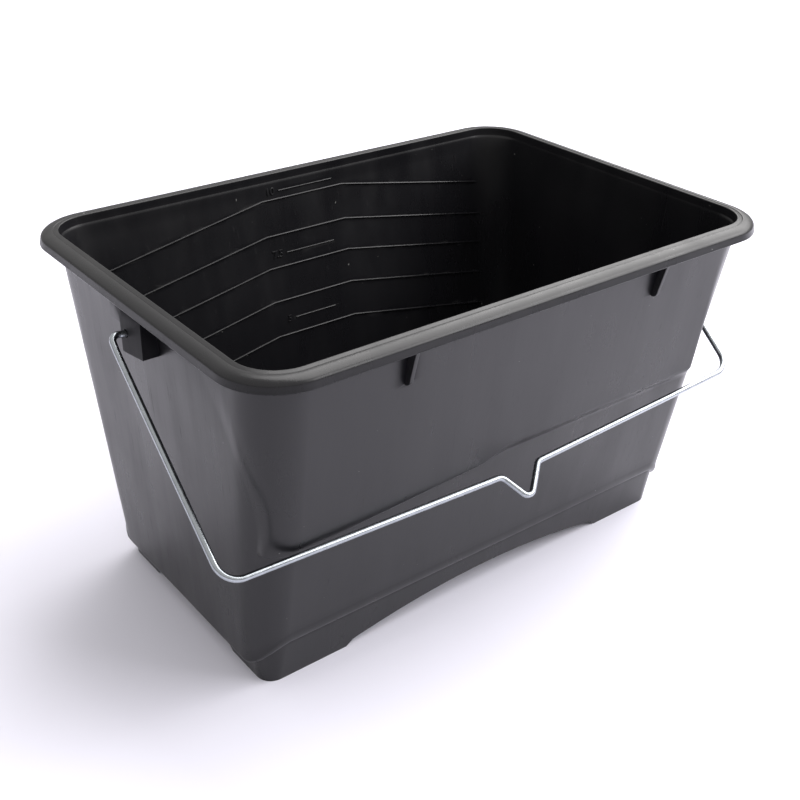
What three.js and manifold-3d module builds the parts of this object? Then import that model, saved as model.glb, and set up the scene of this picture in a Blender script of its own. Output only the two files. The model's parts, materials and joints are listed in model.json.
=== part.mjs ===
// Rectangular scuttle bucket: one moulded tub and one wire bail that hangs from two ears on the tub.
// Millimetres. +X runs along the long walls, +Y points to the ribbed wall, +Z is up, the floor is Z = 0.
import * as THREE from "three";
import { mergeVertices } from "three/addons/utils/BufferGeometryUtils.js";
import Module from "manifold-3d";

const wasm = await Module();
wasm.setup();

// Tub: outside of the walls at rim height, how far they lean out per millimetre of height, and the base.
const height = 199;
const wallTop = { x: 161.1, y: 110.2, corner: 25 };
const lean = { x: 0.05, y: 0.17 };
const wall = 2.2;
const base = { underside: 9, floor: 3, roundX: 6, roundY: 17, innerRoundX: 5, innerRoundY: 15.5 };

// Rim: a lip that reaches out from the walls and turns down, open underneath.
const rim = { reachX: 9.2, reachY: 7.4, reachCorner: 6.7, drop: 6.8, round: 4.6, lip: 2.2, roof: 2.4 };
const mouth = { step: 0.9, depth: 6, soft: 1.2 };

// The front wall stands proud above a ledge, by nothing at the rim and by this much at the ledge.
const ledge = { z: 98, proud: 4, soft: 1.6 };

// Skirt below the tub. An arch on the long sides and a notch on the short ones leave four corner feet.
const skirt = { x: 145.7, y: 75, corner: 9, leanX: 0.117, leanY: 0.175, top: 24, wall: 3 };
const arch = { footEnd: 95, springX: 91, springZ: 3.8, crown: 14.3 };
const notch = { footEnd: 42, top: 16 };

// Ears that hold the bail, and thin gussets under the rim.
const ear = { face: 168.5, plate: 2.5, halfWidth: 16, bottom: 168.5, side: 2.4 };
const pivotZ = 179.3;
const boreRadius = 2.15;
const gusset = { x: 83, thick: 2.2, bottom: 171.5, topReach: 5.8, bottomReach: 5, round: 3.5 };

// Run-off ribs and litre marks on the inside of the back wall.
const ribs = { levels: [183.3, 161.8, 142.1, 121.1, 99], flatFrom: -27, flatTo: 31, fall: 0.176 };
const rib = { wide: 1.3, proud: 0.9, endGap: 14 };
const mark = { wide: 0.9, proud: 0.6 };
const marks = [
  { z: 188, from: -15, to: 24 },
  { z: 150, from: -14, to: 21 },
  { z: 108.6, from: -13, to: 17 },
];

// Bail: round wire bent into two arms, a bottom bar that sags to a hook notch, and two pins turned inward.
const wire = 3.4;
const bail = {
  lean: 49.9, aside: -2, pinEnd: 162.8, bendStart: 170.6, armTop: 174.5, armBottom: 176.5,
  drop: 129, sagged: 134.4, corner: 13,
};
const hump = { rise: 1.8, nearPin: 2.4, overArm: 0.2, end: 6 };
const hook = { half: 13, tip: -3, corner: 17.1, round: 3.4 };

// How far a piece runs into its neighbour before the two are joined, or past a face that it cuts.
const overlap = 1;
const curveSegments = 8;
const quarter = Math.PI / 2;

function toManifold(geometry) {
  const bare = geometry.clone();
  bare.deleteAttribute("normal");
  bare.deleteAttribute("uv");
  const merged = mergeVertices(bare, 1e-4);
  return new wasm.Manifold(new wasm.Mesh({
    numProp: 3,
    vertProperties: new Float32Array(merged.attributes.position.array),
    triVerts: new Uint32Array(merged.index.array),
  }));
}

function toGeometry(solid) {
  const mesh = solid.getMesh();
  const geometry = new THREE.BufferGeometry();
  geometry.setAttribute("position", new THREE.BufferAttribute(mesh.vertProperties, 3));
  geometry.setIndex(new THREE.BufferAttribute(mesh.triVerts, 1));
  geometry.computeVertexNormals();
  return geometry;
}

function join(solids) {
  return solids.reduce((whole, solid) => whole.add(solid));
}

function roundedRect(halfX, halfY, radius) {
  const shape = new THREE.Shape();
  shape.moveTo(halfX - radius, -halfY);
  shape.absarc(halfX - radius, radius - halfY, radius, -quarter, 0);
  shape.absarc(halfX - radius, halfY - radius, radius, 0, quarter);
  shape.absarc(radius - halfX, halfY - radius, radius, quarter, 2 * quarter);
  shape.absarc(radius - halfX, radius - halfY, radius, 2 * quarter, 3 * quarter);
  return shape;
}

// A rounded block whose half length and half width at each height come from halfSize(z, side),
// where side is -1 in front of the middle and 1 behind it.
function loft(widest, heights, halfSize) {
  const outline = roundedRect(widest.x, widest.y, widest.corner);
  const steps = heights.length - 1;
  const options = { depth: steps, steps, bevelEnabled: false, curveSegments };
  const geometry = new THREE.ExtrudeGeometry(outline, options);
  const position = geometry.attributes.position;
  for (let i = 0; i < position.count; i++) {
    const z = heights[Math.round(position.getZ(i))];
    const half = halfSize(z, Math.sign(position.getY(i)));
    const x = position.getX(i) * half.x / widest.x;
    const y = position.getY(i) * half.y / widest.y;
    position.setXYZ(i, x, y, z);
  }
  return toManifold(geometry);
}

function box(from, to) {
  const size = to.map((value, axis) => value - from[axis]);
  const geometry = new THREE.BoxGeometry(...size);
  geometry.translate(...from.map((value, axis) => value + size[axis] / 2));
  return toManifold(geometry);
}

// A quarter-ellipse inset for a rounded edge: nothing at its start, and the whole reach at its end.
function roundInset(share, reach) {
  const t = Math.min(Math.max(share, 0), 1);
  return reach * (1 - Math.sqrt(1 - t * t));
}

// Half length and half width of the wall's outside, less an offset, with the rounded edge at the base.
function wallHalf(z, offset, bottom, roundX, roundY) {
  const below = height - z;
  return {
    x: wallTop.x - below * lean.x - offset - roundInset((bottom + roundX - z) / roundX, roundX),
    y: wallTop.y - below * lean.y - offset - roundInset((bottom + roundY - z) / roundY, roundY),
  };
}

// Shares from 0 to 1 that lie closer together towards 0, where a rounded edge turns fastest.
function roundedShares(steps) {
  return Array.from({ length: steps + 1 }, (_, i) => 1 - Math.cos(i / steps * quarter));
}

function solidBody(offset, bottom, roundX, roundY, top) {
  const heights = [...roundedShares(7).map((share) => bottom + share * roundY), top];
  return loft(wallTop, heights, (z) => wallHalf(z, offset, bottom, roundX, roundY));
}

function outerBody() {
  return solidBody(0, base.underside, base.roundX, base.roundY, height);
}

function innerBody() {
  const floor = base.underside + base.floor;
  return solidBody(wall, floor, base.innerRoundX, base.innerRoundY, height + overlap);
}

function proudAt(z) {
  const top = height - rim.drop;
  return ledge.proud * (top - z) / (top - ledge.z);
}

// The proud upper part of the front wall, outside or, with an offset, inside.
// It is drawn in a little at the other three walls, so that it only shows at the front.
function proudFront(offset) {
  const drawnIn = 0.6;
  const start = ledge.z + (offset > 0 ? wall : 0);
  const heights = [start - ledge.soft, start, height - rim.drop];
  return loft(wallTop, heights, (z, side) => {
    const plain = wallHalf(z, offset, base.underside, base.roundX, base.roundY);
    const proud = z < start ? proudAt(z) - ledge.soft : proudAt(z);
    return { x: plain.x - drawnIn, y: plain.y + (side < 0 ? proud : -drawnIn) };
  });
}

function rimOutline(inset) {
  return {
    x: wallTop.x + rim.reachX - inset,
    y: wallTop.y + rim.reachY - inset,
    corner: wallTop.corner + rim.reachCorner - inset,
  };
}

function rimBlock() {
  const outline = rimOutline(0);
  const rounded = roundedShares(6).map((share) => height - share * rim.round).reverse();
  const heights = [height - rim.drop, ...rounded];
  return loft(outline, heights, (z) => {
    const inset = roundInset((z - height + rim.round) / rim.round, rim.round);
    return { x: outline.x - inset, y: outline.y - inset };
  });
}

// The hollow under the rim, between the walls and the turned-down lip.
function rimChannel(outside) {
  const outline = rimOutline(rim.lip);
  const bottom = height - rim.drop - overlap;
  return loft(outline, [bottom, height - rim.roof], () => outline).subtract(outside);
}

// The mouth is a little wider than the space below it, down to a soft step.
function mouthStep() {
  const bottom = height - mouth.depth;
  const heights = [bottom - mouth.soft, bottom, height + overlap];
  return loft(wallTop, heights, (z) => {
    const plain = wallHalf(z, wall, base.underside, base.roundX, base.roundY);
    const wider = z < bottom ? 0 : mouth.step;
    return { x: plain.x + wider, y: plain.y + wider };
  });
}

function skirtHalf(z, offset) {
  return { x: skirt.x + z * skirt.leanX - offset, y: skirt.y + z * skirt.leanY - offset };
}

function skirtRing() {
  const outer = loft(skirt, [0, skirt.top], (z) => skirtHalf(z, 0));
  const inner = loft(skirt, [-overlap, skirt.top - overlap], (z) => skirtHalf(z, skirt.wall));
  return outer.subtract(inner).subtract(archCut()).subtract(notchCut());
}

function archCut() {
  const { footEnd, springX, springZ, crown } = arch;
  const rise = crown - springZ;
  const radius = (springX * springX + rise * rise) / (2 * rise);
  const sweep = Math.asin(springX / radius);
  const shape = new THREE.Shape();
  shape.moveTo(-footEnd, -overlap);
  shape.lineTo(footEnd, -overlap);
  shape.lineTo(footEnd, 0);
  shape.lineTo(springX, springZ);
  shape.absarc(0, crown - radius, radius, quarter - sweep, quarter + sweep);
  shape.lineTo(-footEnd, 0);
  const depth = 4 * skirt.y;
  const geometry = new THREE.ExtrudeGeometry(shape, { depth, bevelEnabled: false, curveSegments: 12 });
  geometry.translate(0, 0, -depth / 2);
  geometry.rotateX(quarter);
  return toManifold(geometry);
}

function notchCut() {
  const { footEnd, top } = notch;
  const shape = new THREE.Shape();
  shape.moveTo(-footEnd - overlap, -overlap);
  shape.lineTo(footEnd + overlap, -overlap);
  shape.lineTo(footEnd - top, top);
  shape.lineTo(top - footEnd, top);
  const depth = 4 * skirt.x;
  const geometry = new THREE.ExtrudeGeometry(shape, { depth, bevelEnabled: false });
  geometry.translate(0, 0, -depth / 2);
  geometry.rotateX(quarter);
  geometry.rotateZ(quarter);
  return toManifold(geometry);
}

// Ears and gussets start inside the tub's solid and end inside the rim's.
const rootDepth = 10;

function earBlock(side) {
  const top = height - rim.roof + overlap / 2;
  const inner = wallTop.x - rootDepth;
  const from = [side > 0 ? inner : -ear.face, -ear.halfWidth, ear.bottom];
  const to = [side > 0 ? ear.face : -inner, ear.halfWidth, top];
  return box(from, to);
}

// The pocket inside an ear, open at its bottom, and the bore through its face.
function earCuts(side, outside) {
  const near = wallTop.x - rootDepth;
  const far = ear.face - ear.plate;
  const halfWidth = ear.halfWidth - ear.side;
  const from = [side > 0 ? near : -far, -halfWidth, ear.bottom - overlap];
  const to = [side > 0 ? far : -near, halfWidth, height - rim.drop];
  const length = ear.plate + 2 * overlap;
  const bore = new THREE.CylinderGeometry(boreRadius, boreRadius, length, 24);
  bore.rotateZ(quarter);
  bore.translate(side * (ear.face - ear.plate / 2), 0, pivotZ);
  return box(from, to).subtract(outside).add(toManifold(bore));
}

// A thin plate between the wall and the rim, with a rounded lower outer corner.
function gussetPlate(x, side) {
  const { thick, bottom, round } = gusset;
  const root = wallTop.y - rootDepth;
  const top = height - rim.roof + overlap / 2;
  const bottomEdge = wallTop.y - (height - bottom) * lean.y + gusset.bottomReach;
  const topEdge = wallTop.y + gusset.topReach;
  const shape = new THREE.Shape();
  shape.moveTo(root, bottom);
  shape.lineTo(bottomEdge - round, bottom);
  shape.quadraticCurveTo(bottomEdge, bottom, bottomEdge, bottom + round);
  shape.lineTo(topEdge, height - rim.drop);
  shape.lineTo(topEdge, top);
  shape.lineTo(root, top);
  const options = { depth: thick, bevelEnabled: false, curveSegments: 4 };
  const geometry = new THREE.ExtrudeGeometry(shape, options);
  geometry.translate(0, 0, -thick / 2);
  geometry.rotateX(quarter);
  geometry.rotateZ(side * quarter);
  geometry.translate(x, 0, 0);
  return toManifold(geometry);
}

// A raised band on the inside of the back wall, from a centre line given as [x, z] points.
function wallBand(line, wide, proud) {
  const slope = Math.atan(lean.y);
  const upSlope = (z) => z / Math.cos(slope);
  const shape = new THREE.Shape();
  shape.moveTo(line[0][0], upSlope(line[0][1]) - wide / 2);
  line.slice(1).forEach(([x, z]) => shape.lineTo(x, upSlope(z) - wide / 2));
  [...line].reverse().forEach(([x, z]) => shape.lineTo(x, upSlope(z) + wide / 2));
  const geometry = new THREE.ExtrudeGeometry(shape, { depth: proud + overlap, bevelEnabled: false });
  geometry.translate(0, 0, -overlap);
  const along = new THREE.Vector3(1, 0, 0);
  const up = new THREE.Vector3(0, Math.sin(slope), Math.cos(slope));
  const inward = new THREE.Vector3(0, -Math.cos(slope), Math.sin(slope));
  const place = new THREE.Matrix4().makeBasis(along, up, inward);
  place.setPosition(0, wallTop.y - wall - height * lean.y, 0);
  geometry.applyMatrix4(place);
  return toManifold(geometry);
}

function runOffRib(z) {
  const end = (level) => wallTop.x - wall - (height - level) * lean.x - rib.endGap;
  const left = -end(z);
  const right = end(z);
  const line = [
    [left, z - (ribs.flatFrom - left) * ribs.fall],
    [ribs.flatFrom, z],
    [ribs.flatTo, z],
    [right, z - (right - ribs.flatTo) * ribs.fall],
  ];
  return wallBand(line, rib.wide, rib.proud);
}

function litreMark({ z, from, to }) {
  return wallBand([[from, z], [to, z]], mark.wide, mark.proud);
}

function tub() {
  const outside = outerBody().add(proudFront(0));
  const sides = [-1, 1];
  const gussets = sides.flatMap((side) => [-gusset.x, gusset.x].map((x) => gussetPlate(x, side)));
  const raised = [...ribs.levels.map(runOffRib), ...marks.map(litreMark)];
  const hollows = [innerBody(), proudFront(wall), mouthStep()];
  const ears = sides.map(earBlock);
  const cuts = sides.map((side) => earCuts(side, outside));
  return join([outside, rimBlock(), ...ears])
    .subtract(rimChannel(outside).subtract(join(ears)))
    .subtract(join(cuts))
    .add(join(gussets))
    .add(skirtRing())
    .subtract(join(hollows))
    .add(join(raised));
}

// A point of the bail, from its place along the pivot axis and its distance below that axis.
function bailPoint(x, below) {
  const angle = THREE.MathUtils.degToRad(bail.lean);
  return new THREE.Vector3(x + bail.aside, -below * Math.sin(angle), pivotZ - below * Math.cos(angle));
}

// Points where a straight run leaves a rounded corner, from the corner towards another point.
function backOff(corner, towards, distance) {
  return corner.clone().add(towards.clone().sub(corner).setLength(distance));
}

function bailPath() {
  const path = new THREE.CurvePath();
  let last = bailPoint(-bail.pinEnd, 0);
  const straight = (to) => {
    path.add(new THREE.LineCurve3(last, to));
    last = to;
  };
  const rounded = (corner, next, radius) => {
    straight(backOff(corner, last, radius));
    const end = backOff(corner, next, radius);
    path.add(new THREE.QuadraticBezierCurve3(last, corner, end));
    last = end;
  };
  const humpAt = (side) => [
    bailPoint(side * bail.bendStart, 0),
    bailPoint(side * (bail.bendStart + hump.nearPin), -hump.rise),
    bailPoint(side * (bail.armTop + hump.overArm), -hump.rise),
    bailPoint(side * bail.armTop, hump.end),
  ];
  const corners = [
    [bailPoint(-bail.armBottom, bail.drop), bail.corner],
    [bailPoint(-hook.half, bail.sagged), hook.round],
    [bailPoint(hook.tip, bail.sagged + hook.corner), hook.round],
    [bailPoint(hook.half, bail.sagged), hook.round],
    [bailPoint(bail.armBottom, bail.drop), bail.corner],
  ];
  const leftHump = humpAt(-1);
  const rightHump = humpAt(1).reverse();
  straight(leftHump[0]);
  path.add(new THREE.CubicBezierCurve3(...leftHump));
  last = leftHump[3];
  corners.forEach(([corner, radius], i) => {
    const next = i + 1 < corners.length ? corners[i + 1][0] : rightHump[0];
    rounded(corner, next, radius);
  });
  straight(rightHump[0]);
  path.add(new THREE.CubicBezierCurve3(...rightHump));
  last = rightHump[3];
  straight(bailPoint(bail.pinEnd, 0));
  return path;
}

function bailWire() {
  const section = new THREE.Shape();
  section.absarc(0, 0, wire / 2, 0, 2 * Math.PI);
  const extrudePath = bailPath();
  return new THREE.ExtrudeGeometry(section, { steps: 260, extrudePath, curveSegments: 5 });
}

const group = new THREE.Group();

const tubMesh = new THREE.Mesh(
  toGeometry(tub()),
  new THREE.MeshStandardMaterial({ color: 0x17181a, roughness: 0.42, metalness: 0 }),
);
tubMesh.name = "tub";
group.add(tubMesh);

const bailMesh = new THREE.Mesh(
  toGeometry(toManifold(bailWire())),
  new THREE.MeshStandardMaterial({ color: 0xc8ccd0, roughness: 0.25, metalness: 1 }),
);
bailMesh.name = "bail";
group.add(bailMesh);

export default group;
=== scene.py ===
"""A rectangular scuttle bucket: one black moulded tub and the zinc wire bail that hangs from its ears."""
import json
import math

import bmesh
import bpy
import numpy as np
from mathutils import Matrix, Vector


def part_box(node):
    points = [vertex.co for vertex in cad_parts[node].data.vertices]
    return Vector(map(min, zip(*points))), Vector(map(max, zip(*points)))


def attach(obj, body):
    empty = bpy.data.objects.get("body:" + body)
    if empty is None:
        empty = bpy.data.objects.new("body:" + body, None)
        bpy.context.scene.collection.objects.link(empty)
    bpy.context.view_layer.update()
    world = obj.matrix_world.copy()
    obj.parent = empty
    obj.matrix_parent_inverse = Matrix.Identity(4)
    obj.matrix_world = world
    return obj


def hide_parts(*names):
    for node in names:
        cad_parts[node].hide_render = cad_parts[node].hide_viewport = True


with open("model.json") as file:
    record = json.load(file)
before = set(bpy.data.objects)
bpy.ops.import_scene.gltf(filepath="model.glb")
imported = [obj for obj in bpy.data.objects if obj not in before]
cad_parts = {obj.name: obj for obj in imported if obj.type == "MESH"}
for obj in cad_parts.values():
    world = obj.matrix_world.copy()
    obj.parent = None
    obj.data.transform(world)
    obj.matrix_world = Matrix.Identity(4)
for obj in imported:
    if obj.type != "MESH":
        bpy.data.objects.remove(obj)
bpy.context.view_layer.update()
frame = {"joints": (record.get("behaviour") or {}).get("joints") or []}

MM = 0.001
tub_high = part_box("tub")[1]
HEIGHT = tub_high.z / MM
PIVOT = Vector(frame["joints"][0]["pos_m"]) / MM

# All sizes below are in millimetres. +X is along the long walls and -Y is the proud front wall.

# The walls: half sizes at the top, which shrink by these amounts per millimetre down.
WALL_TOP_X = 161.1
WALL_TOP_Y = 110.2
LEAN_X = 0.05
LEAN_Y = 0.17
CORNER_TOP = 25.0
CORNER_SHRINK = 0.043
WALL = 2.2
SIDE_THINNER = 1.0  # how much thinner the short walls get between these two heights
SIDE_THINS = (110, 187)

# The base, and the shoulder where the walls turn in above the skirt, on the long and short walls.
UNDERSIDE = 9.0
FLOOR = 12.0
SHOULDER_LONG = 35.0
SHOULDER_SHORT = 15.0
SHOULDER_FOOT = 27.0
STEP_LONG = 2.2
STEP_SHORT = 1.0
BASE_CORNER = 18.0

# The rim: its half sizes, its outer face, its rounded crown and the inner edge of its flat lip.
RIM_X = tub_high.x / MM
RIM_Y = tub_high.y / MM
RIM_CORNER = 31.5
RIM_BOTTOM = 192.2
RIM_DRAFT = 0.65
CROWN_WIDE = 6.2
CROWN_TALL = 3.5
CROWN_START = 195.3
LIP_EDGE = 10.35
MOUTH_FOOT = 187.0  # where the step below the mouth runs out into the wall

# The proud front wall, which stands out most at the ledge and not at all under the rim. The ledge
# climbs from its left end, then rises a little and turns softer between the two jump places.
LEDGE_HEIGHT = 98.0
LEDGE_PROUD = 4.0
LEDGE_LEFT_END = 91.0
LEDGE_RIGHT_RISE = 1.5
LEDGE_SOFT_LEFT = 3.6
LEDGE_SOFT_RIGHT = 8.5
CLIMB_START = -140
CLIMB_END = -22
JUMP_START = -24
JUMP_END = -6

# How far round each front corner the proud front reaches, and how softly it ends there. On the left
# both grow towards the rim.
LEFT_CREASE = 20.5
LEFT_CREASE_SPREAD = 40.0
LEFT_CREASE_CLIMB = 77.0
LEFT_CREASE_SOFT = 5.5
LEFT_CREASE_SOFTENS = 0.3
RIGHT_CREASE = 9.0
RIGHT_CREASE_SOFT = 8.0

# The skirt under the base: half sizes at the floor, which grow by these amounts per millimetre up.
SKIRT_X = 145.7
SKIRT_Y = 75.0
SKIRT_CORNER = 9.0
SKIRT_FLARE_X = 0.117
SKIRT_FLARE_Y = 0.175
SKIRT_FLARE_CORNER = 0.2
SKIRT_WALL = 3.0
SKIRT_TOP_LONG = 28.2
SKIRT_TOP_SHORT = 11.5

# Columns in each quarter of a ring: along the long wall, round the corner, and along the short wall.
LONG_COLUMNS = 18
WRAP_COLUMNS = 30
SIDE_COLUMNS = 26


def mix(a, b, share):
    return a + (b - a) * share


def smooth(value, start, end):
    """0 up to start and 1 from end, with an S curve between them."""
    t = np.clip((value - start) / (end - start), 0, 1)
    return t * t * (3 - 2 * t)


# ---------------------------------------------------------------- rings round the tub

def wall_half_x(z):
    return WALL_TOP_X - (HEIGHT - z) * LEAN_X


def wall_half_y(z):
    return WALL_TOP_Y - (HEIGHT - z) * LEAN_Y


def wall_corner(z):
    return CORNER_TOP - (HEIGHT - z) * CORNER_SHRINK


def crease_wrap(z):
    """How far past the start of the left front corner the crease is, which is further towards the rim."""
    climb = np.clip((np.minimum(z, MOUTH_FOOT) - LEDGE_HEIGHT) / LEFT_CREASE_CLIMB, 0, None)
    return LEFT_CREASE + LEFT_CREASE_SPREAD * climb ** 2


def quarter_columns():
    """The (part, share) of each column, from the middle of a long wall to the middle of a short one."""
    columns = [(0, f) for f in np.linspace(0, 1, LONG_COLUMNS, endpoint=False)]
    columns += [(1, f) for f in np.linspace(0, 1, WRAP_COLUMNS, endpoint=False)]
    columns += [(2, f) for f in np.linspace(0, 1, SIDE_COLUMNS + 1)]
    return columns


QUARTER = np.array(quarter_columns())
PER_QUARTER = len(QUARTER)


def full_columns():
    """Quarter columns and the two mirror signs for the whole ring, starting at the middle of the front."""
    front_right = [(i, 1, -1) for i in range(PER_QUARTER)]
    back_right = [(i, 1, 1) for i in range(PER_QUARTER - 2, -1, -1)]
    back_left = [(i, -1, 1) for i in range(1, PER_QUARTER)]
    front_left = [(i, -1, -1) for i in range(PER_QUARTER - 2, 0, -1)]
    return np.array(front_right + back_right + back_left + front_left)


RING = full_columns()
PART = QUARTER[RING[:, 0], 0]
SHARE = QUARTER[RING[:, 0], 1]
SIGN_X = RING[:, 1]
SIGN_Y = RING[:, 2]


class Ring:
    """One closed ring of points. Every argument may be one number or one per column.

    wrap is how far past the start of each corner the closely spaced columns go on.
    """

    def __init__(self, half_x, half_y, corner, z, wrap=None):
        corner = np.maximum(corner, 0.5) * np.ones(len(RING))
        arc = corner * math.pi / 2
        wrap = arc if wrap is None else wrap
        side = half_y - corner
        travelled = np.select(
            [PART == 0, PART == 1],
            [0, SHARE * wrap],
            wrap + SHARE * (arc + side - wrap),
        )
        angle = np.clip(travelled / corner, 0, math.pi / 2)
        past = np.clip(travelled - arc, 0, None)
        straight = np.where(PART == 0, SHARE, 1) * (half_x - corner)
        self.x = SIGN_X * (straight + corner * np.sin(angle))
        self.y = SIGN_Y * (side + corner * np.cos(angle) - past)
        self.z = z * np.ones(len(RING))
        self.out_x = SIGN_X * np.sin(angle)
        self.out_y = SIGN_Y * np.cos(angle)
        self.travelled = travelled
        self.turned = angle / (math.pi / 2)

    def push(self, distance):
        self.x = self.x + self.out_x * distance
        self.y = self.y + self.out_y * distance
        return self

    def points(self):
        return np.column_stack([self.x, self.y, self.z]) * MM


def side_share():
    """0 on the long walls and 1 on the short ones, turning smoothly round the corners."""
    z = 25.0
    ring = Ring(wall_half_x(z), wall_half_y(z), wall_corner(z), z, LEFT_CREASE)
    return smooth(ring.turned, 0, 1)


SIDE_SHARE = side_share()


def ledge_line():
    """The height and the softness of the ledge at each column."""
    z = LEDGE_HEIGHT
    x = Ring(wall_half_x(z), wall_half_y(z), wall_corner(z), z, crease_wrap(z)).x
    climb = np.clip((x - CLIMB_START) / (CLIMB_END - CLIMB_START), 0, 1)
    to_right = smooth(x, JUMP_START, JUMP_END)
    height = mix(LEDGE_LEFT_END, LEDGE_HEIGHT, climb) + LEDGE_RIGHT_RISE * to_right
    return height, mix(LEDGE_SOFT_LEFT, LEDGE_SOFT_RIGHT, to_right)


LEDGE, LEDGE_SOFT = ledge_line()


def proud_front(ring, offset):
    """How far the front wall stands out at each column, ending in a crease round each front corner."""
    z = ring.z - offset
    grown = smooth(z, LEDGE, LEDGE + LEDGE_SOFT)
    size = LEDGE_PROUD * (RIM_BOTTOM - z) / (RIM_BOTTOM - LEDGE_HEIGHT)
    crease = np.where(SIGN_X < 0, crease_wrap(z), RIGHT_CREASE)
    left_soft = LEFT_CREASE_SOFT + LEFT_CREASE_SOFTENS * np.clip(z - LEDGE_HEIGHT, 0, None)
    softness = np.where(SIGN_X < 0, left_soft, RIGHT_CREASE_SOFT)
    round_corner = smooth(crease - ring.travelled, 0, softness)
    return np.where(SIGN_Y < 0, np.clip(size, 0, None) * grown * round_corner, 0)


def wall_ring(z, offset):
    """A ring of the wall's outside, or of its inside where offset is the wall's thickness."""
    z = z * np.ones(len(RING))
    wrap = crease_wrap(z)
    ring = Ring(wall_half_x(z), wall_half_y(z), wall_corner(z), z, wrap)
    if offset:
        offset = offset - SIDE_THINNER * ring.turned * smooth(z, *SIDE_THINS)
    return ring.push(proud_front(ring, offset) - offset)


def wall_rows():
    """Heights of the wall's rings, a value for each column, close together at the ledge."""
    bottom = mix(SHOULDER_LONG, SHOULDER_SHORT, SIDE_SHARE)
    below = [mix(bottom, LEDGE - 2.4, f) for f in np.linspace(0, 1, 14)]
    across = [LEDGE + mix(-1.6, 1.15 * LEDGE_SOFT, f) for f in np.linspace(0, 1, 16)]
    above = [mix(LEDGE + 1.3 * LEDGE_SOFT, RIM_BOTTOM, f) for f in np.linspace(0, 1, 34)]
    return below + across + above


def quarter_turns(start, count):
    """The (1 - cosine, sine) of angles from a share of a right angle up to a whole one."""
    turns = [share * math.pi / 2 for share in np.linspace(start, 1, count)]
    return [(1 - math.cos(turn), math.sin(turn)) for turn in turns]


def base_rings():
    """From the middle of the underside outwards: the rounded base and the shoulder above it."""
    round_long, round_short, round_corner = 16, 5.0, 9
    short_foot = mix(UNDERSIDE, SHOULDER_SHORT, 0.6)
    half_x = wall_half_x(SHOULDER_SHORT) - STEP_SHORT
    half_y = wall_half_y(SHOULDER_FOOT) - STEP_LONG
    rings = []
    for rise, out in quarter_turns(0, 9):
        z = mix(mix(UNDERSIDE, SHOULDER_FOOT, rise), mix(UNDERSIDE, short_foot, rise), SIDE_SHARE)
        x = half_x - round_short * (1 - out)
        y = half_y - round_long * (1 - out)
        rings.append(Ring(x, y, BASE_CORNER - round_corner * (1 - out), z, LEFT_CREASE))
    for rise, out in quarter_turns(0.25, 8)[:-1]:
        z_long = mix(SHOULDER_FOOT + 0.2, SHOULDER_LONG, rise)
        z = mix(z_long, mix(short_foot, SHOULDER_SHORT, rise), SIDE_SHARE)
        x = wall_half_x(SHOULDER_SHORT) - STEP_SHORT * (1 - out)
        y = wall_half_y(SHOULDER_LONG) - STEP_LONG * (1 - out)
        rings.append(Ring(x, y, BASE_CORNER + 0.5, z, LEFT_CREASE))
    return rings


def rim_ring(inset, z):
    return Ring(RIM_X - inset, RIM_Y - inset, RIM_CORNER - inset, z, crease_wrap(RIM_BOTTOM))


def rim_rings():
    """Out from the wall under the rim, round its lip, over its crowned top and up its inner lip."""
    channel = [
        (9.15, 194.4), (8.6, 196.0), (7.6, 196.4), (4.6, 196.0), (3.0, 195.2), (2.3, 194.2), (2.1, 192.8),
    ]
    foot = [
        (1.75, 192.3), (1.1, 192.1), (0.5, 192.2), (0.15, 192.45), (0.0, 192.8), (0.2, 193.6), (0.45, 194.6),
    ]
    crown = []
    for turn in np.linspace(math.radians(8), math.pi / 2, 17):
        inset = RIM_DRAFT + CROWN_WIDE * (1 - math.cos(turn))
        crown.append((inset, CROWN_START + CROWN_TALL * math.sin(turn)))
    lip = [(7.2, 198.75), (7.32, 198.6), (7.5, 198.52), (7.7, 198.6), (9.5, 198.96), (9.8, HEIGHT)]
    edge = [(10.05, 198.94), (10.22, 198.75), (10.3, 198.45)]
    return [rim_ring(inset, z) for inset, z in channel + foot + crown + lip + edge]


def mouth_rings():
    """Down from the rim's inner edge, over the soft step below the mouth, to the inside of the wall."""
    wall = wall_ring(MOUTH_FOOT, WALL)
    drop = [
        (0, 197.0), (0.1, 194.6), (0.2, 194.1), (0.4, 193.4), (0.5, 192.6), (0.75, 190.0), (1, MOUTH_FOOT),
    ]
    rings = []
    for share, z in drop:
        ring = rim_ring(LIP_EDGE, z)
        ring.x = mix(ring.x, wall.x, share)
        ring.y = mix(ring.y, wall.y, share)
        rings.append(ring)
    return rings


def inner_rings():
    """Down the inside of the walls, round the edge of the floor and to its middle."""
    top, bottom = MOUTH_FOOT - 2, 30
    round_long, round_short, corner, round_corner = 13.5, 5, 16, 7
    foot_long, foot_short = FLOOR + 14, FLOOR + 6
    half_x = wall_half_x(foot_short) - WALL
    half_y = wall_half_y(SHOULDER_FOOT) - STEP_LONG - WALL
    rings = [wall_ring(z, WALL) for z in wall_rows()[::-1] if np.max(z) < top]
    rings = [ring for ring in rings if np.min(ring.z) > bottom]
    for inwards, down in quarter_turns(0, 10):
        z = mix(mix(foot_long, FLOOR, down), mix(foot_short, FLOOR, down), SIDE_SHARE)
        x = half_x - round_short * inwards
        y = half_y - round_long * inwards
        rings.append(Ring(x, y, corner - round_corner * inwards, z, LEFT_CREASE))
    return rings


def band_faces(row, next_row):
    """The faces between two rows of ring points."""
    count = len(RING)
    step = (next_row - row) * count
    faces = []
    for column in range(count):
        a = row * count + column
        b = row * count + (column + 1) % count
        faces.append((a, b, b + step, a + step))
    return faces


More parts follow.
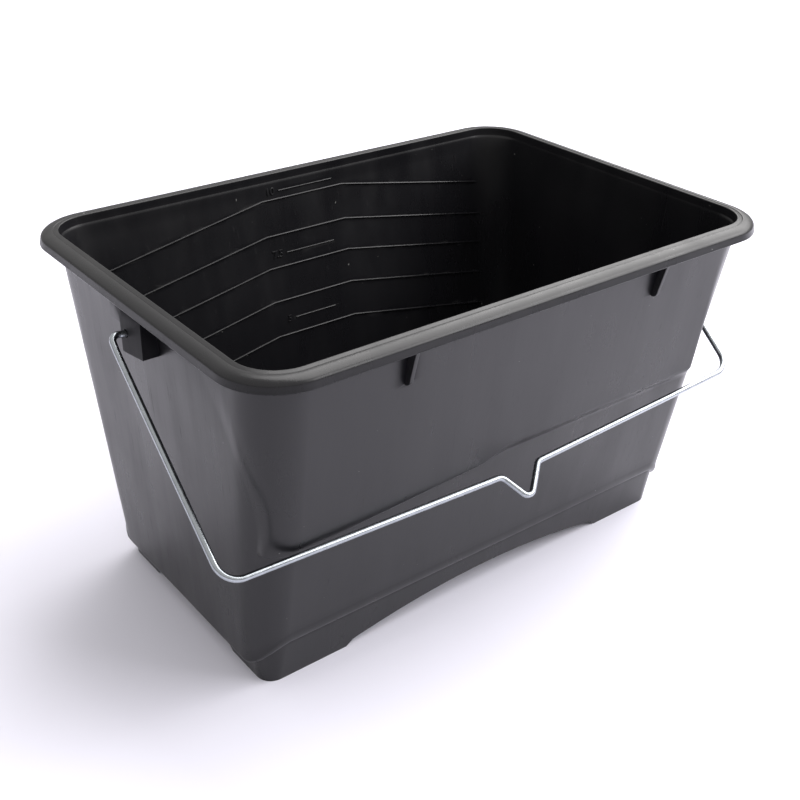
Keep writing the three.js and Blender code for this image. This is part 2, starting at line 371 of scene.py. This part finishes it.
def grow_loft(name, rings):
    """A closed mesh through the rings, in order, with a flat face at each end."""
    count = len(RING)
    points = np.vstack([ring.points() for ring in rings])
    faces = []
    for row in range(len(rings) - 1):
        faces += band_faces(row, row + 1)
    faces.append(tuple(range(count))[::-1])
    last = (len(rings) - 1) * count
    faces.append(tuple(range(last, last + count)))
    return make_object(name, points.tolist(), faces)


def make_object(name, points, faces):
    mesh = bpy.data.meshes.new(name)
    mesh.from_pydata(points, [], faces)
    mesh.update()
    work = bmesh.new()
    work.from_mesh(mesh)
    bmesh.ops.recalc_face_normals(work, faces=work.faces)
    work.to_mesh(mesh)
    work.free()
    piece = bpy.data.objects.new(name, mesh)
    bpy.context.collection.objects.link(piece)
    return piece


def apply_modifiers(piece):
    graph = bpy.context.evaluated_depsgraph_get()
    mesh = bpy.data.meshes.new_from_object(piece.evaluated_get(graph))
    old = piece.data
    piece.modifiers.clear()
    piece.data = mesh
    bpy.data.meshes.remove(old)


def combine(piece, others, operation):
    """Joins the other pieces to this one, or cuts them out of it, and deletes them."""
    for other in others:
        step = piece.modifiers.new("combine", "BOOLEAN")
        step.operation = operation
        step.solver = "MANIFOLD"
        step.object = other
    apply_modifiers(piece)
    for other in others:
        bpy.data.objects.remove(other)
    return piece


def bevel(piece, width):
    """Rounds the piece's sharp edges."""
    step = piece.modifiers.new("bevel", "BEVEL")
    step.width = width * MM
    step.segments = 2
    step.limit_method = "ANGLE"
    step.angle_limit = math.radians(40)
    apply_modifiers(piece)
    return piece


def prism(name, outline, place, depth):
    """An outline of (a, b) points, made solid over depth (from, to), each point placed by place(a, b, c)."""
    count = len(outline)
    points = [place(a, b, c) for c in depth for a, b in outline]
    points = [tuple(v * MM for v in point) for point in points]
    faces = [tuple(range(count)), tuple(range(2 * count - 1, count - 1, -1))]
    for i in range(count):
        j = (i + 1) % count
        faces.append((i, j, j + count, i + count))
    return make_object(name, points, faces)


# ---------------------------------------------------------------- skirt and feet

def skirt():
    """The ring below the tub, before its arches and notches are cut."""
    def ring(offset, z):
        half_x = SKIRT_X + SKIRT_FLARE_X * z - offset
        half_y = SKIRT_Y + SKIRT_FLARE_Y * z - offset
        return Ring(half_x, half_y, SKIRT_CORNER + SKIRT_FLARE_CORNER * z - offset, z)

    top = mix(SKIRT_TOP_LONG, SKIRT_TOP_SHORT, SIDE_SHARE)
    inside_base = ring(1.6, mix(SHOULDER_FOOT, 11.3, SIDE_SHARE))
    inner = [ring(SKIRT_WALL, 0.0), ring(SKIRT_WALL, 11.0), inside_base]
    outer = [ring(0, mix(0, top, share)) for share in np.linspace(0, 1, 8)[::-1]]
    rings = inner + outer
    points = np.vstack([ring.points() for ring in rings])
    faces = []
    for row in range(len(rings)):
        faces += band_faces(row, (row + 1) % len(rings))
    return make_object("skirt", points.tolist(), faces)


def arch_cutter():
    """The flat arch under each long wall, cut right through from front to back."""
    crown, spring_x, spring_z, end_x = 14.3, 91.0, 3.8, 95
    rise = crown - spring_z
    radius = (spring_x ** 2 + rise ** 2) / (2 * rise)
    sweep = math.asin(spring_x / radius)
    outline = [(-end_x, -2), (end_x, -2), (end_x, 0)]
    for turn in np.linspace(sweep, -sweep, 25):
        outline.append((radius * math.sin(turn), crown - radius + radius * math.cos(turn)))
    outline.append((-end_x, 0))
    return prism("arch", outline, lambda a, b, c: (a, c, b), (-150, 150))


def notch_cutter():
    """The notch under each short wall, cut right through from side to side."""
    outline = [(-44, -2), (44, -2), (26, 16), (-26, 16)]
    return prism("notch", outline, lambda a, b, c: (c, a, b), (-200, 200))


def feet():
    piece = combine(skirt(), [arch_cutter(), notch_cutter()], "DIFFERENCE")
    return bevel(piece, 0.6)


# ---------------------------------------------------------------- ears and gussets

EAR_FACE = 168.5
EAR_FRONT = -16
EAR_TOP = 197.0
EAR_SHELL = 2.4
EAR_BACK_FACE = 168.2
EAR_BACK_BOTTOM = 182.5
EAR_BACK_START = 4
EAR_BACK_END = 16
BORE_RADIUS = 2.15


def ear(side):
    """The box that a bail pin turns in: open below, with its lower back corner cut away."""
    def out_to(face, skin):
        """Places a prism between the tub's wall, less a skin, and the ear's face."""
        return lambda y, z, depth: (side * (face if depth else wall_half_x(z) - skin), y, z)

    front = [(EAR_FRONT, 171.2), (0, 168.6), (5.4, 168.0), (5.4, EAR_TOP), (EAR_FRONT, EAR_TOP)]
    shell = prism("ear", front, out_to(EAR_FACE, 1.0), (0, 1))
    back = [
        (EAR_BACK_START, EAR_BACK_BOTTOM),
        (EAR_BACK_END, EAR_BACK_BOTTOM),
        (EAR_BACK_END, EAR_TOP),
        (EAR_BACK_START, EAR_TOP),
    ]
    back_box = prism("ear_back", back, out_to(EAR_BACK_FACE, 1.0), (0, 1))
    combine(shell, [back_box], "UNION")

    hollow = [(-13.6, 166.5), (3.2, 166.5), (3.2, 184.6), (13.6, 184.6), (13.6, 192), (-13.6, 192)]
    pocket = prism("pocket", hollow, out_to(EAR_FACE - EAR_SHELL, 0), (0, 1))
    circle = [
        (BORE_RADIUS * math.cos(turn), PIVOT.z + BORE_RADIUS * math.sin(turn))
        for turn in np.linspace(0, 2 * math.pi, 32, endpoint=False)
    ]
    bore = prism("bore", circle, lambda y, z, x: (side * x, y, z), (EAR_FACE - 5, EAR_FACE + 2))
    combine(shell, [pocket, bore], "DIFFERENCE")
    return bevel(shell, 0.45)


GUSSET_X = 83
GUSSET_BOTTOM = 171.5
GUSSET_TOP = 196.8
GUSSET_HALF = 1.1


def gusset(x, side):
    """The small fin under the rim of a long wall, with its lower outer corner rounded."""
    tip, tip_rise = 3.5, 4.0
    low = wall_half_y(GUSSET_BOTTOM) + 5.0
    high = wall_half_y(RIM_BOTTOM) + 6.0
    outline = [(wall_half_y(GUSSET_BOTTOM) - 1.0, GUSSET_BOTTOM), (low - tip, GUSSET_BOTTOM)]
    for rise, out in quarter_turns(0.15, 6):
        outline.append((low - tip + tip * out, GUSSET_BOTTOM + tip_rise * rise))
    outline += [(high, RIM_BOTTOM + 0.6), (high, GUSSET_TOP), (wall_half_y(GUSSET_TOP) - 1.0, GUSSET_TOP)]
    piece = prism("gusset", outline, lambda y, z, x: (x, side * y, z), (x - GUSSET_HALF, x + GUSSET_HALF))
    return bevel(piece, 0.35)


# ---------------------------------------------------------------- ribs and marks on the back wall

def back_wall_frame():
    """A place on the inside of the back wall from (x, height on the wall, distance inwards)."""
    slope = math.atan(LEAN_Y)
    start = WALL_TOP_Y - WALL - HEIGHT * LEAN_Y

    def place(x, z, inwards):
        return (x, start + z * LEAN_Y - inwards * math.cos(slope), z + inwards * math.sin(slope))

    return place


def band(name, line, wide, proud):
    """A raised line with a rounded section, along a list of (x, z) points."""
    place = back_wall_frame()
    half = wide / 2
    section = [(-half, -1.0)]
    for t in np.linspace(-1, 1, 7):
        section.append((half * math.sin(t * math.pi / 2), proud * math.cos(t * math.pi / 2) ** 0.8))
    section.append((half, -1.0))
    dense = []
    for (x0, z0), (x1, z1) in zip(line, line[1:]):
        steps = max(2, int(abs(x1 - x0) / 6))
        dense += [(mix(x0, x1, i / steps), mix(z0, z1, i / steps)) for i in range(steps)]
    dense.append(line[-1])
    points = [place(x, z + offset, inwards) for x, z in dense for offset, inwards in section]
    count = len(section)
    last = len(points) - 1
    faces = [tuple(range(count)), tuple(range(last, last - count, -1))]
    for row in range(len(dense) - 1):
        for i in range(count):
            a = row * count + i
            b = row * count + (i + 1) % count
            faces.append((a, b, b + count, a + count))
    return make_object(name, [tuple(v * MM for v in p) for p in points], faces)


RIB_LEVELS = (183.3, 161.8, 142.1, 121.1, 99.0)
RIB_FALL = 0.176  # how far a rib falls, per millimetre outwards from its level middle
RIB_WIDE = 1.3
RIB_PROUD = 0.9
RIB_END_GAP = 14
MARK_WIDE = 0.9
MARK_PROUD = 0.6


def rib(level):
    left_end, right_end = -27.0, 31.0
    reach = wall_half_x(level) - WALL - RIB_END_GAP
    line = [
        (-reach, level - (left_end + reach) * RIB_FALL),
        (left_end, level),
        (right_end, level),
        (reach, level - (reach - right_end) * RIB_FALL),
    ]
    return band("rib", line, RIB_WIDE, RIB_PROUD)


def numeral(text, x, z, size):
    """A raised numeral that lies on the back wall, with its right edge at x."""
    curve = bpy.data.curves.new("numeral", "FONT")
    curve.body = text
    curve.size = size * MM
    curve.extrude = 0.45 * MM
    curve.bevel_depth = 0.12 * MM
    curve.bevel_resolution = 1
    curve.align_x = "RIGHT"
    curve.align_y = "CENTER"
    lettering = bpy.data.objects.new("numeral", curve)
    bpy.context.collection.objects.link(lettering)
    bpy.context.view_layer.update()
    mesh = bpy.data.meshes.new_from_object(lettering)
    bpy.data.objects.remove(lettering)
    slope = math.atan(LEAN_Y)
    turn = Matrix.Rotation(math.pi / 2 - slope, 4, "X")
    place = back_wall_frame()
    mesh.transform(Matrix.Translation(Vector(place(x, z, 0.0)) * MM) @ turn)
    work = bmesh.new()
    work.from_mesh(mesh)
    bmesh.ops.remove_doubles(work, verts=work.verts, dist=1e-6)
    work.to_mesh(mesh)
    work.free()
    piece = bpy.data.objects.new("numeral", mesh)
    bpy.context.collection.objects.link(piece)
    return piece


# Each litre mark: its numeral, the numeral's right edge and size, and the line's height and ends.
MARKS = [
    ("10", -17.5, 6.4, 188, -15, 24),
    ("7.5", -16.5, 6.4, 150, -14, 21),
    ("5", -16.0, 6.0, 108.6, -13, 17),
]


def raised_lines():
    lines = [rib(level) for level in RIB_LEVELS]
    for _, _, _, z, left, right in MARKS:
        lines.append(band("mark", [(left, z), (right, z)], MARK_WIDE, MARK_PROUD))
    return lines


def numerals():
    return [numeral(text, x, z, size) for text, x, size, z, _, _ in MARKS]


# ---------------------------------------------------------------- tub

def smooth_shade(piece, angle):
    for face in piece.data.polygons:
        face.use_smooth = True
    piece.data.set_sharp_from_angle(angle=math.radians(angle))
    step = piece.modifiers.new("normals", "WEIGHTED_NORMAL")
    step.keep_sharp = True
    step.weight = 50
    apply_modifiers(piece)


def join_loose(piece, others):
    """Adds the other meshes to this one as they are."""
    work = bmesh.new()
    work.from_mesh(piece.data)
    for other in others:
        work.from_mesh(other.data)
        bpy.data.objects.remove(other)
    work.to_mesh(piece.data)
    work.free()


def shade_ears_matt(tub):
    """Gives the front parts of the ears the tub's second material: a matt finish whose weaker reflection
    also paints them darker, as shade.
    """
    for face in tub.data.polygons:
        x, y, z = face.center / MM
        beside = EAR_FRONT - 0.5 < y < EAR_BACK_START - 0.1 and 167 < z < RIM_BOTTOM
        face.material_index = 1 if beside and abs(x) > wall_half_x(z) + 0.5 else 0


def build_tub():
    outer = [wall_ring(z, 0) for z in wall_rows()]
    rings = base_rings() + outer + rim_rings() + mouth_rings() + inner_rings()
    tub = grow_loft("tub_moulding", rings)
    gussets = [gusset(x, side) for side in (-1, 1) for x in (-GUSSET_X, GUSSET_X)]
    combine(tub, [feet(), ear(-1), ear(1)] + gussets + raised_lines(), "UNION")
    join_loose(tub, numerals())
    smooth_shade(tub, 35)
    return tub


# ---------------------------------------------------------------- bail

BAIL_LEAN = math.radians(49.9)  # how far the bail hangs forward of straight down
BAIL_ASIDE = -2.0
WIRE = 3.4
PIN_END = 162.8
NOTCH_HALF = 13


def bail_point(x, below):
    """A point of the bail's flat shape, from its distance along the pins' line and below it."""
    return Vector((
        x + BAIL_ASIDE,
        -below * math.sin(BAIL_LEAN),
        PIVOT.z - below * math.cos(BAIL_LEAN),
    ))


def rounded_path(corners, radii):
    """Points along straight runs that are joined by arcs of the given radii at the inner corners."""
    path = [corners[0]]
    for before, corner, after, radius in zip(corners, corners[1:], corners[2:], radii):
        to_before = (before - corner).normalized()
        to_after = (after - corner).normalized()
        half = to_before.angle(to_after) / 2
        reach = radius / math.tan(half)
        middle = (to_before + to_after).normalized()
        centre = corner + middle * (radius / math.sin(half))
        start = corner + to_before * reach - centre
        end = corner + to_after * reach - centre
        steps = max(4, int(math.degrees(start.angle(end)) / 5))
        axis = start.cross(end).normalized()
        turn = start.angle(end) / steps
        path += [centre + Matrix.Rotation(turn * i, 3, axis) @ start for i in range(steps + 1)]
    return path + [corners[-1]]


def bail_path():
    """From one pin to the other: each corner of the wire and the radius that it is bent to."""
    arm_top, arm_bottom, drop, sagged = 174.5, 176.5, 129.0, 134.4
    half = [
        (PIN_END, 0, 0),
        (EAR_FACE, 0, 12),
        (arm_top - 0.6, -1.9, 3.6),
        (arm_top + 0.15, 8, 40),
        (arm_bottom, drop, 11),
        (NOTCH_HALF, sagged, 5),
    ]
    hook = [(-3, sagged + 17.1, 4.2)]
    other_half = [(-x, below, radius) for x, below, radius in half[::-1]]
    bends = half + hook + other_half
    corners = [bail_point(x, below) for x, below, _ in bends]
    radii = [radius for _, _, radius in bends][1:-1]
    return rounded_path(corners, radii)


def build_bail():
    curve = bpy.data.curves.new("bail_wire", "CURVE")
    curve.dimensions = "3D"
    curve.bevel_depth = WIRE / 2 * MM
    curve.bevel_resolution = 7
    curve.use_fill_caps = True
    spline = curve.splines.new("POLY")
    path = bail_path()
    spline.points.add(len(path) - 1)
    for point, place in zip(spline.points, path):
        point.co = (*(place * MM), 1)
    wire = bpy.data.objects.new("bail_curve", curve)
    bpy.context.collection.objects.link(wire)
    bpy.context.view_layer.update()
    graph = bpy.context.evaluated_depsgraph_get()
    mesh = bpy.data.meshes.new_from_object(wire.evaluated_get(graph))
    bpy.data.objects.remove(wire)
    work = bmesh.new()
    work.from_mesh(mesh)
    bmesh.ops.remove_doubles(work, verts=work.verts, dist=1e-6)
    bmesh.ops.recalc_face_normals(work, faces=work.faces)
    work.to_mesh(mesh)
    work.free()
    bail = bpy.data.objects.new("bail_wire", mesh)
    bpy.context.collection.objects.link(bail)
    smooth_shade(bail, 40)
    return bail


# ---------------------------------------------------------------- materials

class Nodes:
    """A short way to make a material's shader nodes and link them."""

    def __init__(self, name):
        self.material = bpy.data.materials.new(name)
        self.material.use_nodes = True
        self.tree = self.material.node_tree
        self.shader = self.tree.nodes["Principled BSDF"]

    def add(self, kind, values=None, **settings):
        node = self.tree.nodes.new(kind)
        for key, value in settings.items():
            setattr(node, key, value)
        for key, value in (values or {}).items():
            if isinstance(value, bpy.types.NodeSocket):
                self.tree.links.new(value, node.inputs[key])
            else:
                node.inputs[key].default_value = value
        return node

    def link(self, socket, key):
        self.tree.links.new(socket, self.shader.inputs[key])

    def place(self, scale=(1, 1, 1), turn=(0, 0, 0)):
        where = self.add("ShaderNodeTexCoord").outputs["Object"]
        return self.add("ShaderNodeMapping", {"Vector": where, "Scale": scale, "Rotation": turn}).outputs[0]

    def noise(self, vector, scale, detail=3.0, rough=0.55):
        values = {"Vector": vector, "Scale": scale, "Detail": detail, "Roughness": rough}
        return self.add("ShaderNodeTexNoise", values).outputs["Fac"]

    def range(self, value, low, high, to_low, to_high):
        values = {"Value": value, "From Min": low, "From Max": high, "To Min": to_low, "To Max": to_high}
        return self.add("ShaderNodeMapRange", values).outputs["Result"]

    def maths(self, operation, a, b):
        return self.add("ShaderNodeMath", {0: a, 1: b}, operation=operation).outputs[0]

    def blend(self, share, a, b):
        """A colour between a and b."""
        values = {"Factor": share, "A": a, "B": b}
        node = self.tree.nodes.new("ShaderNodeMix")
        node.data_type = "RGBA"
        for socket in node.inputs:
            if socket.name in values and socket.enabled:
                value = values[socket.name]
                if isinstance(value, bpy.types.NodeSocket):
                    self.tree.links.new(value, socket)
                else:
                    socket.default_value = value
        return next(s for s in node.outputs if s.enabled)

    def bump(self, height, strength, distance, under=None):
        values = {"Height": height, "Strength": strength, "Distance": distance * MM}
        if under is not None:
            values["Normal"] = under
        return self.add("ShaderNodeBump", values).outputs["Normal"]


def plastic_colour(n, plain, clouds, edge):
    """Near black and a little uneven, with pale dust specks and paler worn edges."""
    specks = n.range(n.noise(plain, 420, 1), 0.80, 0.84, 0, 1)
    tone = n.blend(clouds, (0.0055, 0.0054, 0.0066, 1), (0.0095, 0.0093, 0.0112, 1))
    dusty = n.blend(n.maths("MULTIPLY", specks, 0.55), tone, (0.30, 0.30, 0.29, 1))
    worn = n.range(edge, 0.54, 0.64, 0, 0.25)
    return n.blend(worn, dusty, (0.045, 0.045, 0.046, 1))


def plastic_painted_shade(n, plain, edge, upward):
    """Painted shade: a dull, darker reflection in the hollow edges and under what overhangs above the
    shoulder.
    """
    height = n.add("ShaderNodeSeparateXYZ", {"Vector": plain}).outputs["Z"]
    overhang = n.range(upward, -0.21, -0.5, 0, 0.75)
    above_shoulder = n.range(height, 0.06, 0.075, 0, 1)
    under = n.maths("MULTIPLY", overhang, above_shoulder)
    return n.maths("MAXIMUM", n.range(edge, 0.490, 0.45, 0, 1), under)


def plastic_bumps(n, plain, streaks, scratch):
    """Shallow sink waves, flow streaks, a fine grain and scratches."""
    waves = n.bump(n.noise(plain, 9, 1), 0.4, 4.0)
    flow = n.bump(streaks, 0.14, 0.8, waves)
    grained = n.bump(n.noise(plain, 2600, 2), 0.10, 0.05, flow)
    return n.bump(scratch, 0.25, 0.03, grained)


def black_plastic(name, shine):
    """Black polypropylene; shine is 1 for moulded walls and less for the matt faces of the ears, where the
    weaker reflection also paints shade.
    """
    n = Nodes(name)
    plain = n.place()
    streaked = n.place(scale=(1, 1, 0.12), turn=(0.35, 0.5, 0.2))
    scratched = n.place(scale=(1, 1, 0.02), turn=(0.9, 0.4, 1.1))
    clouds = n.noise(plain, 14, 4)
    streaks = n.noise(streaked, 60, 5)
    scratch = n.range(n.noise(scratched, 900, 1), 0.70, 0.76, 0, 1)
    geometry = n.add("ShaderNodeNewGeometry")
    edge = geometry.outputs["Pointiness"]
    upward = n.add("ShaderNodeSeparateXYZ", {"Vector": geometry.outputs["Normal"]}).outputs["Z"]

    n.link(plastic_colour(n, plain, clouds, edge), "Base Color")
    uneven = n.range(n.maths("ADD", clouds, streaks), 0.7, 1.3, 0.22, 0.40)
    scratchy = n.maths("ADD", uneven, n.maths("MULTIPLY", scratch, 0.12))
    n.link(n.maths("ADD", scratchy, 0.4 * (1 - shine)), "Roughness")
    # Painted shade: the specular level drops in hollow edges and on faces that overhang, so they look
    # shaded.
    painted_shade = plastic_painted_shade(n, plain, edge, upward)
    n.link(n.range(painted_shade, 0, 1, 0.5 * shine, 0.06 * shine), "Specular IOR Level")
    n.shader.inputs["IOR"].default_value = 1.43
    n.link(plastic_bumps(n, plain, streaks, scratch), "Normal")
    return n.material


def zinc():
    """Bright zinc plate with fine spangles, dull patches and drawing lines along the wire."""
    n = Nodes("bright_zinc")
    plain = n.place()
    spangle = n.noise(plain, 240, 3)
    dulled = n.noise(plain, 35, 3)
    tone = n.blend(spangle, (0.27, 0.29, 0.31, 1), (0.44, 0.47, 0.50, 1))
    n.link(tone, "Base Color")
    n.shader.inputs["Metallic"].default_value = 1.0
    n.link(n.range(n.maths("ADD", spangle, dulled), 0.7, 1.3, 0.16, 0.34), "Roughness")
    draw = n.noise(n.place(scale=(1, 8, 8)), 500, 2)
    n.link(n.bump(draw, 0.12, 0.05), "Normal")
    return n.material


def floor_material():
    """A plain pale floor, very slightly uneven."""
    n = Nodes("pale_floor")
    tone = n.blend(n.noise(n.place(), 2.0, 2), (0.83, 0.82, 0.92, 1), (0.87, 0.86, 0.96, 1))
    n.link(tone, "Base Color")
    n.shader.inputs["Roughness"].default_value = 0.65
    return n.material


# ---------------------------------------------------------------- stage

def build_floor():
    half = 6.0
    points = [(-half, -half, 0), (half, -half, 0), (half, half, 0), (-half, half, 0)]
    piece = make_object("floor", points, [(0, 1, 2, 3)])
    piece.data.materials.append(floor_material())


LIGHT_TARGET = Vector((0, 0, 0.1))


def area_light(name, place, size, power, tint):
    """A soft rectangle of light that points at the bucket and isn't seen itself."""
    light = bpy.data.lights.new(name, "AREA")
    light.shape = "RECTANGLE"
    light.size, light.size_y = size
    light.energy = power
    light.color = tint
    holder = bpy.data.objects.new(name, light)
    holder.location = place
    aim = LIGHT_TARGET - Vector(place)
    holder.rotation_euler = aim.to_track_quat("-Z", "Y").to_euler()
    holder.visible_camera = False
    bpy.context.collection.objects.link(holder)


def build_world():
    """A studio that is bright overhead and dimmer in a low band all round, where its walls are."""
    world = bpy.data.worlds.new("studio")
    world.use_nodes = True
    tree = world.node_tree
    background = tree.nodes["Background"]
    background.inputs["Color"].default_value = (1.0, 0.985, 0.965, 1)
    direction = tree.nodes.new("ShaderNodeTexCoord")
    parts = tree.nodes.new("ShaderNodeSeparateXYZ")
    strength = tree.nodes.new("ShaderNodeMapRange")
    strength.interpolation_type = "SMOOTHSTEP"
    for key, value in {"From Min": 0.26, "From Max": 0.38, "To Min": 0.5, "To Max": 0.85}.items():
        strength.inputs[key].default_value = value
    tree.links.new(direction.outputs["Generated"], parts.inputs[0])
    tree.links.new(parts.outputs["Z"], strength.inputs["Value"])
    tree.links.new(strength.outputs["Result"], background.inputs["Strength"])
    bpy.context.scene.world = world


def build_light():
    build_world()
    area_light("softbox", (1.1, 0.2, 1.6), (2.2, 2.2), 62, (1.0, 0.985, 0.98))
    area_light("front_right", (1.3, -1.2, 1.2), (1.4, 1.0), 23, (1.0, 0.99, 1.0))
    bpy.context.scene.view_settings.view_transform = "Standard"


CAMERA_PLACE = Vector((-0.37479, -0.46933, 0.42789))
CAMERA_AZIMUTH = math.radians(-38.335)
CAMERA_DOWN = math.radians(29.548)
CAMERA_ROLL = math.radians(1.1055)
CAMERA_LENS = 52.665
CAMERA_SHIFT = (0.00286, -0.00175)


def build_camera():
    """Looks at the bucket from its front left, from above."""
    data = bpy.data.cameras.new("camera")
    data.sensor_width = 36.0
    data.lens = CAMERA_LENS
    data.shift_x, data.shift_y = CAMERA_SHIFT
    forward = Vector((
        -math.sin(CAMERA_AZIMUTH) * math.cos(CAMERA_DOWN),
        math.cos(CAMERA_AZIMUTH) * math.cos(CAMERA_DOWN),
        -math.sin(CAMERA_DOWN),
    ))
    level = Vector((math.cos(CAMERA_AZIMUTH), math.sin(CAMERA_AZIMUTH), 0))
    above = level.cross(forward)
    right = level * math.cos(CAMERA_ROLL) + above * math.sin(CAMERA_ROLL)
    up = above * math.cos(CAMERA_ROLL) - level * math.sin(CAMERA_ROLL)
    camera = bpy.data.objects.new("camera", data)
    turn = Matrix((right, up, -forward)).transposed()
    camera.matrix_world = Matrix.Translation(CAMERA_PLACE) @ turn.to_4x4()
    bpy.context.collection.objects.link(camera)
    bpy.context.scene.camera = camera


# ---------------------------------------------------------------- scene

tub = build_tub()
tub.data.materials.clear()
tub.data.materials.append(black_plastic("black_polypropylene", 1.0))
# The second material is a matt copy. Its weaker reflection paints the ear faces darker, as shade.
tub.data.materials.append(black_plastic("matt_shaded_black_polypropylene", 0.35))
shade_ears_matt(tub)
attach(tub, "tub")
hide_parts("tub")

bail = build_bail()
bail.data.materials.clear()
bail.data.materials.append(zinc())
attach(bail, "bail")
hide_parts("bail")

build_floor()
build_light()
build_camera()
